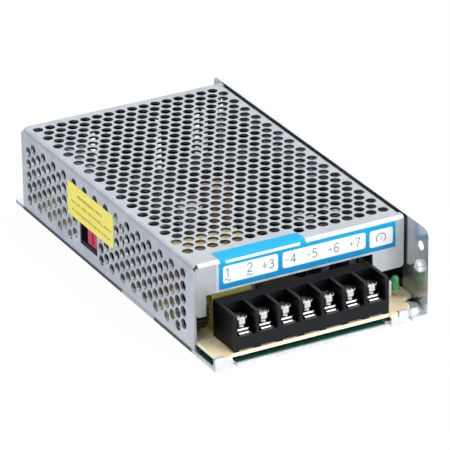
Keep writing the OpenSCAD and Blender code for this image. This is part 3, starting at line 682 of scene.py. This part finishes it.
# each row's height, start and end as shares of the sticker, and the height of its bars
print_rows = ((0.72, 0.22, 0.74, 1.5), (0.47, 0.08, 0.94, 1.1), (0.22, 0.10, 0.92, 1.1))
bar_push = Vector((-0.001 * mm, 0, 0))
rng = random.Random(7)
bars = []
for height, start, end, tall in print_rows:
    # the row runs from the back of the case to the front, as it is read
    y = sticker_high.y - start * (sticker_high.y - sticker_low.y)
    last = sticker_high.y - end * (sticker_high.y - sticker_low.y)
    z = sticker_low.z + height * (sticker_high.z - sticker_low.z)
    while y > last:
        wide = rng.uniform(0.45, 0.95) * mm
        half = tall * rng.uniform(0.35, 0.5) * mm
        bars.append([(y, z - half), (y - wide, z - half), (y - wide, z + half), (y, z + half)])
        y -= wide + rng.choice((0.35, 0.35, 0.5, 1.1)) * mm
sticker_ink = surface(
    "sticker_ink", (0.30, 0.22, 0.04), 0.55, mottle=0.15, mottle_size=1.5, bump=0.01, bump_size=0.3,
)
bars_mesh = thin_plates("sticker_print", bars, lambda u, v: Vector((sticker_low.x, u, v)), bar_push)
link_piece("sticker_print", bars_mesh, sticker_ink)

# ---------- Terminal block ----------
# A moulded black barrier strip with seven bays, each with a nickel plated contact, a square clamp
# and a combination head screw. Painted shade lies in the gaps between its washers and under the
# clamp, and a painted highlight on the rim of each head. The bays are painted darker than the face
# of the strip, as shade.

moulded_black = surface(
    "moulded_black", (0.0075, 0.0085, 0.0115), 0.45,
    mottle=0.15, mottle_size=5, bump=0.02, bump_size=0.3, Specular_IOR_Level=0.2,
)
black_tree = moulded_black.node_tree
front_wall = 1.7 * mm
barrier_top = 0.3 * mm
in_bay = product(
    black_tree,
    above(black_tree, position(black_tree, "Y"), block_low.y + front_wall),
    below(black_tree, position(black_tree, "Z"), block_high.z - barrier_top),
)
# painted shade: the inside of the bays is near black
recolour(moulded_black, in_bay, (0.0008, 0.0008, 0.0015))
dress(moulded_black, "terminal_block")


def nickel(name, colour, roughness):
    """Nickel plate on a small stamped or turned piece."""
    return surface(
        name, colour, roughness, metallic=1.0,
        mottle=0.06, mottle_size=1.5, bump=0.01, bump_size=0.25,
    )


def from_axis(tree, off_x, off_y):
    """The distance from an upright axis, from the two offsets from it."""
    squares = number(tree, "ADD", product(tree, off_x, off_x), product(tree, off_y, off_y))
    return number(tree, "SQRT", squares)


dress(nickel("nickel_plate", (0.60, 0.57, 0.56), 0.10), "terminal_plates")
# near black painted into the gaps between parts, as shade
gap_shade = (0.02, 0.02, 0.02)
clamp_low, clamp_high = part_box("terminal_clamp_1")
clamp_nickel = nickel("clamp_nickel", (0.74, 0.71, 0.69), 0.12)
clamp_tree = clamp_nickel.node_tree
clamp_shade = 0.5 * mm
# painted shadow: the clamp's lowest half millimetre is near black
clamp_foot_shade = below(clamp_tree, position(clamp_tree, "Z"), clamp_low.z + clamp_shade)
recolour(clamp_nickel, clamp_foot_shade, gap_shade)

# all seven screws share one finish: it repeats along the row at the screws' pitch
screw_low, screw_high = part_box("terminal_screw_1")
last_screw_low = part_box("terminal_screw_7")[0]
screw_pitch = (last_screw_low.x - screw_low.x) / 6
screw_radius = (screw_high.x - screw_low.x) / 2
row_start = screw_low.x + screw_radius - screw_pitch / 2
row_y = (screw_low.y + screw_high.y) / 2
screw_nickel = nickel("screw_nickel", (0.80, 0.77, 0.75), 0.12)
screw_tree = screw_nickel.node_tree
screw_z = position(screw_tree, "Z")
along_row = number(screw_tree, "SUBTRACT", position(screw_tree, "X"), row_start)
in_pitch = number(screw_tree, "FLOORED_MODULO", along_row, screw_pitch)
screw_off_x = number(screw_tree, "SUBTRACT", in_pitch, screw_pitch / 2)
screw_off_y = number(screw_tree, "SUBTRACT", position(screw_tree, "Y"), row_y)
first_line, line_thick = 0.3 * mm, 0.25 * mm
# painted shade: dark lines just above the clamp and between the washers
washer_gap_shade = below(screw_tree, screw_z, clamp_high.z + first_line)
for height in (1.0 * mm, 1.75 * mm):
    line_low = clamp_high.z + height
    line = between(screw_tree, screw_z, line_low, line_low + line_thick)
    washer_gap_shade = number(screw_tree, "MAXIMUM", washer_gap_shade, line)
recolour(screw_nickel, washer_gap_shade, gap_shade)
# painted highlight: a bright ring without metal sheen at the edge of each head's top
rim_wide, rim_deep = 0.55 * mm, 0.3 * mm
rim = product(
    screw_tree,
    above(screw_tree, from_axis(screw_tree, screw_off_x, screw_off_y), screw_radius - rim_wide),
    above(screw_tree, screw_z, screw_high.z - rim_deep),
)
recolour(screw_nickel, rim, (0.95, 0.93, 0.90))
screw_tree.links.new(lowered(screw_tree, rim), screw_tree.nodes["finish"].inputs["Metallic"])
for terminal in range(1, 8):
    dress(clamp_nickel, f"terminal_clamp_{terminal}")
    dress(screw_nickel, f"terminal_screw_{terminal}")

# ---------- Output lamp and trimmer ----------
# A green lamp with a pale resin foot, a small white stay that stands on the board beside it, and a
# small white trimmer with a brass rotor.

lamp_green = surface(
    "lamp_green", (0.22, 1.0, 0.38), 0.03,
    mottle=0.25, mottle_size=1.2, bump=0.02, bump_size=1, Transmission_Weight=0.6, IOR=1.5,
)
lamp_tree = lamp_green.node_tree
foot_height = 2.2 * mm
lamp_foot = below(lamp_tree, position(lamp_tree, "Z"), led_low.z + foot_height)
recolour(lamp_green, lamp_foot, (0.80, 0.84, 0.62))
dress(lamp_green, "output_led")
trimmer_white = surface(
    "trimmer_white", (0.90, 0.90, 0.88), 0.4, mottle=0.04, mottle_size=2, bump=0.01, bump_size=0.3,
)
dress(trimmer_white, "trimmer_body")
stay_x = (led_low.x - 1.6 * mm, led_low.x - 0.3 * mm)
stay_y = (led_middle.y - 1.0 * mm, led_middle.y + 0.4 * mm)
stay_z = (board_high.z, board_high.z + 6.6 * mm)
stay_corners = [(stay_x[i], stay_y[j], z) for z in stay_z for i, j in ((0, 0), (1, 0), (1, 1), (0, 1))]
stay_faces = [(3, 2, 1, 0), (4, 5, 6, 7), (0, 1, 5, 4), (1, 2, 6, 5), (2, 3, 7, 6), (3, 0, 4, 7)]
stay_mesh = bpy.data.meshes.new("lamp_stay")
stay_mesh.from_pydata(stay_corners, [], stay_faces)
link_piece("lamp_stay", stay_mesh, trimmer_white)
brass = surface(
    "brass", (0.75, 0.52, 0.22), 0.25, metallic=1.0,
    mottle=0.08, mottle_size=1.5, bump=0.01, bump_size=0.3,
)
dress(brass, "trimmer_rotor")

# ---------- Voltage selector ----------
# A slide switch of dead black plastic behind a cut-out in the cover's side, with a crimson slider
# that a screwdriver pushes from one end to the other.

switch_black = surface(
    "switch_black", (0.004, 0.004, 0.006), 0.6, mottle=0.15, mottle_size=3, bump=0.02, bump_size=0.3,
)
dress(switch_black, "selector_body")
slider_red = surface(
    "slider_red", (0.62, 0.010, 0.06), 0.35, mottle=0.10, mottle_size=2, bump=0.01, bump_size=0.3,
)
dress(slider_red, "selector_slider")

# ---------- Input side ----------
# Fuse, inrush thermistor, surge varistor, line filter and rectifier, soldered to the board. The
# filter choke is wound with enamelled copper wire, turn beside turn, on a core in golden tape; the
# ring coils have a dark varnished winding.

ceramic_tan = surface(
    "ceramic_tan", (0.50, 0.40, 0.26), 0.5, mottle=0.06, mottle_size=3, bump=0.02, bump_size=0.4,
)
dress(ceramic_tan, "input_fuse")
disc_green = surface(
    "disc_green", (0.16, 0.15, 0.08), 0.35, mottle=0.1, mottle_size=3, bump=0.03, bump_size=0.8,
)
dress(disc_green, "inrush_thermistor")
disc_blue = surface(
    "disc_blue", (0.02, 0.06, 0.20), 0.35, mottle=0.1, mottle_size=3, bump=0.03, bump_size=0.8,
)
dress(disc_blue, "surge_varistor", "safety_capacitor_1", "safety_capacitor_2")
film_yellow = surface(
    "film_yellow", (0.56, 0.52, 0.09), 0.32, mottle=0.10, mottle_size=4, bump=0.01, bump_size=0.4,
)
dress(film_yellow, "line_capacitor")
ferrite = surface(
    "ferrite", (0.02, 0.02, 0.02), 0.55, mottle=0.15, mottle_size=2, bump=0.04, bump_size=0.3,
)
dress(ferrite, "input_coil_core", "transformer_core")
choke_tape = surface(
    "choke_tape", (1.0, 0.72, 0.22), 0.4, mottle=0.15, mottle_size=4, bump=0.03, bump_size=1.0,
)
dress(choke_tape, "filter_choke_core")
varnished = surface(
    "varnished_winding", (0.035, 0.020, 0.014), 0.3,
    mottle=0.15, mottle_size=2, bump=0.02, bump_size=0.3,
)
dress(varnished, "input_coil_winding", "output_coil_winding")
wound = surface(
    "wound_copper", (0.42, 0.15, 0.05), 0.28, metallic=0.85,
    mottle=0.12, mottle_size=1.5, bump=0.02, bump_size=0.3,
)
wound_tree = wound.node_tree
# a wave texture has a band at every tau / 20 of its scale
turn_pitch = 1.7813 * mm
turns = node(
    wound_tree, "ShaderNodeTexWave", wave_type="BANDS", bands_direction="Z",
    scale=math.tau / 20 / turn_pitch,
)
wound_place = node(wound_tree, "ShaderNodeTexCoord")
wound_tree.links.new(wound_place.outputs["Object"], turns.inputs["Vector"])
wire_relief = node(wound_tree, "ShaderNodeBump", strength=0.9, distance=0.3 * mm)
wound_tree.links.new(turns.outputs["Fac"], wire_relief.inputs["Height"])
wound_tree.links.new(wire_relief.outputs["Normal"], wound_tree.nodes["finish"].inputs["Normal"])
dress(wound, "filter_choke_winding")
package_black = surface(
    "package_black", (0.014, 0.014, 0.016), 0.5, mottle=0.12, mottle_size=2, bump=0.02, bump_size=0.2,
)
dress(
    package_black, "bridge_rectifier", "switching_transistor_1", "switching_transistor_2",
    "controller_chip", "output_rectifier_1", "output_rectifier_2",
)

# ---------- Smoothing capacitors ----------
# Aluminium cans in a dark shrink sleeve that is rolled over the rim, with a pale stripe down the
# negative side and a bare top, painted bright as lit on the two rear output cans and dark as shaded
# on the rest. A painted pool of light lies on the first bulk can.

sleeve_rim, top_depth = 1.3 * mm, 1.2 * mm
stripe_share = 0.35
light_pool_offset, light_pool_radius = 4.5 * mm, 5.2 * mm
for name in (
    "bulk_capacitor_1", "bulk_capacitor_2",
    "output_capacitor_1", "output_capacitor_2", "output_capacitor_3", "output_capacitor_4",
):
    low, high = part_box(name)
    middle = (low + high) / 2
    radius = (high.x - low.x) / 2
    sleeve = surface(
        f"{name}_sleeve", (0.012, 0.015, 0.024), 0.28,
        mottle=0.1, mottle_size=5, bump=0.01, bump_size=0.5,
    )
    tree = sleeve.node_tree
    off_x = number(tree, "SUBTRACT", position(tree, "X"), middle.x)
    off_y = number(tree, "SUBTRACT", position(tree, "Y"), middle.y)
    at_top = above(tree, position(tree, "Z"), high.z - top_depth)
    stripe_wide = below(tree, number(tree, "ABSOLUTE", off_x), radius * stripe_share)
    recolour(sleeve, product(tree, stripe_wide, below(tree, off_y, 0.0)), (0.25, 0.28, 0.33))
    bare = product(tree, below(tree, from_axis(tree, off_x, off_y), radius - sleeve_rim), at_top)
    # painted light: the two rear output cans get a bright top as if lit, the rest a dark one as if shaded
    bright = name in ("output_capacitor_3", "output_capacitor_4")
    recolour(sleeve, bare, (0.90, 0.91, 0.93) if bright else (0.10, 0.10, 0.11))
    if name == "bulk_capacitor_1":
        # painted light: a pale round patch on the top where light falls
        light_pool_x = number(tree, "SUBTRACT", off_x, light_pool_offset)
        light_pool_y = number(tree, "ADD", off_y, light_pool_offset)
        light_pool = product(tree, below(tree, from_axis(tree, light_pool_x, light_pool_y), light_pool_radius), at_top)
        recolour(sleeve, light_pool, (1.0, 0.92, 0.86))
        bare = product(tree, bare, lowered(tree, light_pool))
    tree.links.new(bare, tree.nodes["finish"].inputs["Metallic"])
    dress(sleeve, name)

# ---------- Power stage and output side ----------
# Drawn aluminium heatsinks, the transformer in a dark wrap that ends in pinkish tape where its
# leads come out, the optocoupler, and the yellow ring core of the output coil.

aluminium = surface(
    "drawn_aluminium", (0.70, 0.71, 0.72), 0.32, metallic=1.0,
    mottle=0.05, mottle_size=5, bump=0.02, bump_size=0.4, grain=(1, 1, 0.15),
)
dress(aluminium, "primary_heatsink", "secondary_heatsink")
winding_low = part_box("transformer_winding")[0]
dark_wrap = surface(
    "dark_wrap", (0.035, 0.030, 0.028), 0.35, mottle=0.10, mottle_size=4, bump=0.03, bump_size=1.5,
)
wrap_tree = dark_wrap.node_tree
lead_end_width, lead_end_length = 11 * mm, 10 * mm
lead_end = product(
    wrap_tree,
    below(wrap_tree, position(wrap_tree, "X"), winding_low.x + lead_end_width),
    below(wrap_tree, position(wrap_tree, "Y"), winding_low.y + lead_end_length),
)
recolour(dark_wrap, lead_end, (0.62, 0.34, 0.25))
dress(dark_wrap, "transformer_winding")
chip_white = surface(
    "chip_white", (0.62, 0.62, 0.60), 0.45, mottle=0.04, mottle_size=2, bump=0.01, bump_size=0.2,
)
dress(chip_white, "optocoupler")
core_yellow = surface(
    "core_yellow", (0.42, 0.31, 0.05), 0.4, mottle=0.06, mottle_size=2, bump=0.03, bump_size=0.5,
)
dress(core_yellow, "output_coil_core")

# ---------- Strips at the rear ----------
# Bright tinned strips, stamped with a toothed front edge, that stand in a row across the board near
# its rear end.

tinned = surface(
    "tinned_strip", (1.0, 1.0, 1.0), 0.35, metallic=0.9,
    mottle=0.02, mottle_size=4, bump=0.01, bump_size=0.4,
)
strip_foot = board_high.z - 0.2 * mm
strip_y = board_high.y - 13.0 * mm
strip_half = 1.1 * mm
strips_across = (-22.8, 8.1, 26.3, 30.3, 38.0)
teeth, tooth_high, tooth_deep = 19, 1.6 * mm, 0.9 * mm
profile = [(strip_y + tooth_deep, strip_foot)]
for tooth in range(teeth):
    profile.append((strip_y - tooth_deep, strip_foot + tooth * tooth_high))
    profile.append((strip_y, strip_foot + (tooth + 1) * tooth_high))
profile.append((strip_y + tooth_deep, strip_foot + teeth * tooth_high))
count = len(profile)
corners, faces = [], []
for across in strips_across:
    first = len(corners)
    for side in (-strip_half, strip_half):
        corners += [(across * mm + side, y, z) for y, z in profile]
    faces.append(tuple(first + k for k in range(count)))
    faces.append(tuple(first + count + k for k in reversed(range(count))))
    for k in range(count):
        after = (k + 1) % count
        faces.append((first + after, first + k, first + count + k, first + count + after))
strip_mesh = bpy.data.meshes.new("rear_strips")
strip_mesh.from_pydata(corners, [], faces)
link_piece("rear_strips", strip_mesh, tinned)
